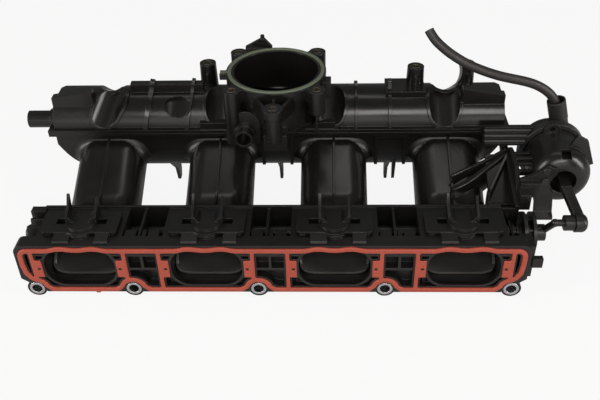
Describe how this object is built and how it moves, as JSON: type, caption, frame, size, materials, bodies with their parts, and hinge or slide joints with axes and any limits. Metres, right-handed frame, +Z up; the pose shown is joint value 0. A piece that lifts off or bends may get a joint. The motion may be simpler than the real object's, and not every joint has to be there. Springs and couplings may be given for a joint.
{
  "type": "intake manifold",
  "caption": "Moulded inlet manifold: throttle flange, plenum and curved runners down to a flap housing with head gasket, vacuum actuator and hose.",
  "frame": {"origin": "on the head face, in the middle of the port row and at the height of the middle of the port band", "axes": "+X along the port row towards the actuator, +Y from the head face to the plenum, +Z up to the throttle flange"},
  "size_m": [0.431, 0.1692, 0.1433],
  "materials": {
    "housing_plastic": "glass-filled nylon, satin",
    "shell_plastic": "glass-filled nylon, satin",
    "frame_plastic": "glass-filled nylon",
    "flap_plastic": "glass-filled nylon",
    "actuator_plastic": "moulded nylon",
    "gasket_rubber": "moulded silicone, satin",
    "seal_rubber": "fluoro rubber, matt",
    "sleeve_rubber": "moulded rubber",
    "hose_rubber": "extruded rubber, satin",
    "diaphragm_rubber": "fabric-backed rubber",
    "bush_plastic": "acetal",
    "steel": "bright zinc",
    "dark_steel": "phosphated steel"
  },
  "bodies": {
    "housing": {"head_flange": "housing_plastic", "upper_shell": "shell_plastic", "lower_shell": "shell_plastic", "runner_1": "shell_plastic", "runner_2": "shell_plastic", "runner_3": "shell_plastic", "runner_4": "shell_plastic", "port_gasket": "gasket_rubber", "throttle_seal": "seal_rubber", "bolt_sleeves": "steel", "post_inserts": "steel", "throttle_inserts": "steel", "flap_frame_1": "frame_plastic", "flap_frame_2": "frame_plastic", "flap_frame_3": "frame_plastic", "flap_frame_4": "frame_plastic", "shaft_bushes": "bush_plastic", "shaft_seal": "seal_rubber", "bearing_cap": "housing_plastic", "end_plug": "housing_plastic", "diaphragm": "diaphragm_rubber", "return_spring": "steel", "actuator_body": "actuator_plastic", "actuator_cover": "actuator_plastic", "crimp_ring": "dark_steel", "actuator_bracket": "actuator_plastic", "bracket_screws": "dark_steel", "ribbed_cover": "housing_plastic", "hose_sleeve": "sleeve_rubber", "vacuum_hose": "hose_rubber"},
    "flap_train": {"flap_1": "flap_plastic", "flap_2": "flap_plastic", "flap_3": "flap_plastic", "flap_4": "flap_plastic", "flap_shaft": "steel", "crank_arm": "actuator_plastic", "pin_collar": "actuator_plastic"},
    "rod": {"actuator_rod": "actuator_plastic", "diaphragm_plate": "steel"}
  },
  "joints": [
    {"name": "flap_turn", "type": "hinge", "parent": "housing", "child": "flap_train", "pos_m": [0, 0.036, 0.003], "axis": [-1, 0, 0], "range_deg": [0, 50], "stiffness_Nm_per_rad": 0.4, "springref_deg": -17.19},
    {"name": "rod_slide", "type": "slide", "parent": "housing", "child": "rod", "axis": [0, 1, 0], "range_m": [0, 0.01269], "deforming": ["return_spring", "diaphragm"]}
  ],
  "couplings": [
    {"joint": "rod_slide", "follows": "flap_turn", "m_per_rad": 0.014528}
  ]
}
